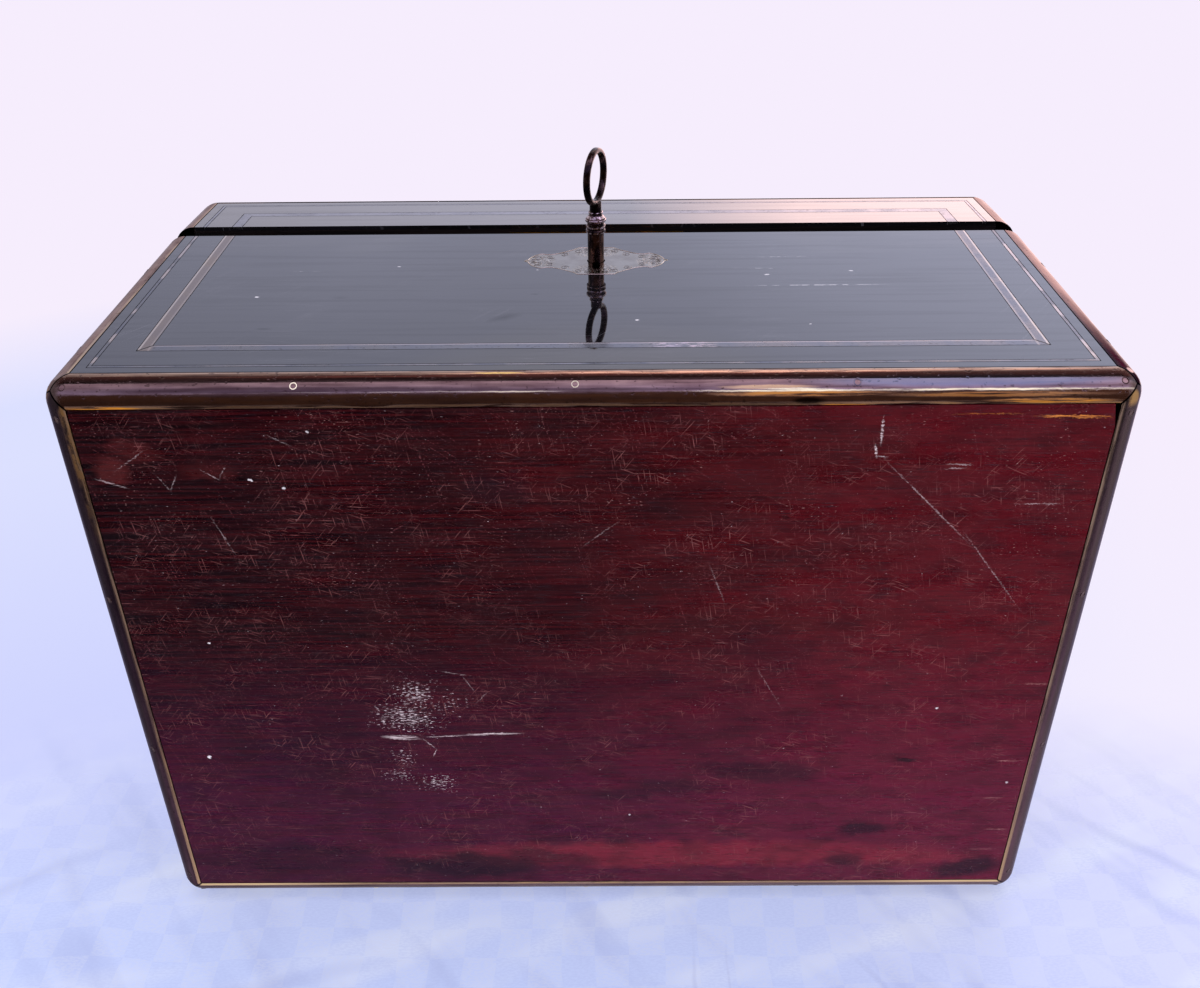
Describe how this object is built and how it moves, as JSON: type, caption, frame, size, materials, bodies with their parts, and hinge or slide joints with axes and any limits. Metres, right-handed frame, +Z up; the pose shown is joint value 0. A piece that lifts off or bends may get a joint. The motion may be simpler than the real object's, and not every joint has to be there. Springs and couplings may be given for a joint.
{
  "type": "humidor",
  "caption": "Brass-edged black polished wooden box with a hinged lid, cedar lining, lift-out tray, humidifier, and a cased lock with its ring-bow key.",
  "frame": {"origin": "middle of the base's underside", "axes": "+Z up, the front with the key faces -Y, +X to the right as seen from the front"},
  "size_m": [0.33, 0.2726, 0.1763],
  "materials": {
    "mahogany": "worn oil polish on a plain mahogany panel",
    "carcass": "black stained mahogany",
    "black_polish": "ebonised wood under a high French polish",
    "cedar": "bare planed cedar",
    "moulding_brass": "solid brass with a dark brown patina, worn bright at the edges",
    "inlay_brass": "flush inlaid brass, tarnished",
    "fitting_brass": "lacquered brass",
    "key_iron": "dark wrought iron, rubbed bright on its edges",
    "lock_steel": "filed steel",
    "pad": "dense moisture pad"
  },
  "bodies": {
    "case": {"back_veneer": "black_polish", "back_wall": "carcass", "base_back_moulding": "moulding_brass", "base_end_mouldings": "moulding_brass", "base_front_moulding": "moulding_brass", "base_panel": "mahogany", "body_stringing": "inlay_brass", "corner_mouldings": "moulding_brass", "end_veneers": "black_polish", "end_walls": "carcass", "front_band": "inlay_brass", "front_veneer": "black_polish", "front_wall": "carcass", "hinge_body_leaves": "fitting_brass", "hinge_pins": "lock_steel", "hinge_screws": "fitting_brass", "key_plate": "inlay_brass", "lining_back": "cedar", "lining_ends": "cedar", "lining_floor": "cedar", "lining_front": "cedar", "lock_cap": "fitting_brass", "lock_case": "fitting_brass", "lock_screws": "fitting_brass", "lock_spring": "lock_steel", "moulding_pins": "moulding_brass", "tray_bearers": "cedar"},
    "lid": {"lid_back_moulding": "moulding_brass", "lid_back_veneer": "black_polish", "lid_back_wall": "carcass", "lid_band": "inlay_brass", "lid_corner_mouldings": "moulding_brass", "lid_end_mouldings": "moulding_brass", "lid_end_veneers": "black_polish", "lid_end_walls": "carcass", "lid_front_moulding": "moulding_brass", "lid_front_veneer": "black_polish", "lid_front_wall": "carcass", "lid_lining_ceiling": "cedar", "lid_lining_strips": "cedar", "lid_moulding_pins": "moulding_brass", "lid_screws": "fitting_brass", "lid_stringing": "inlay_brass", "lid_top_board": "carcass", "lid_top_veneer": "black_polish", "link_plate": "fitting_brass", "hinge_lid_leaves": "fitting_brass", "humidifier_case": "fitting_brass", "humidifier_pad": "pad", "humidifier_cover": "fitting_brass"},
    "tray": {"tray_floor": "cedar", "tray_walls": "cedar", "tray_divider": "cedar"},
    "barrel": {"lock_barrel": "fitting_brass"},
    "key": {"key": "key_iron"},
    "bolt": {"lock_bolt": "lock_steel"}
  },
  "joints": [
    {"name": "lid_hinge", "type": "hinge", "parent": "case", "child": "lid", "pos_m": [0, 0.115, 0.12515], "axis": [-1, 0, 0], "range_deg": [-2.6, 92.4]},
    {"name": "key_turn", "type": "hinge", "parent": "case", "child": "barrel", "pos_m": [0.0008, -0.114, 0.0965], "axis": [0, 1, 0], "range_deg": [0, 180]},
    {"name": "key_draw", "type": "slide", "parent": "barrel", "child": "key", "axis": [0, -1, 0], "range_m": [0, 0.02]},
    {"name": "bolt_slide", "type": "slide", "parent": "case", "child": "bolt", "axis": [1, 0, 0], "range_m": [0, 0.0065]},
    {"name": "tray_lift", "type": "slide", "parent": "case", "child": "tray", "axis": [0, 0, 1], "range_m": [0, 0.024]}
  ],
  "couplings": [
    {"joint": "bolt_slide", "follows": "key_turn", "m_per_rad": 0.002069}
  ]
}
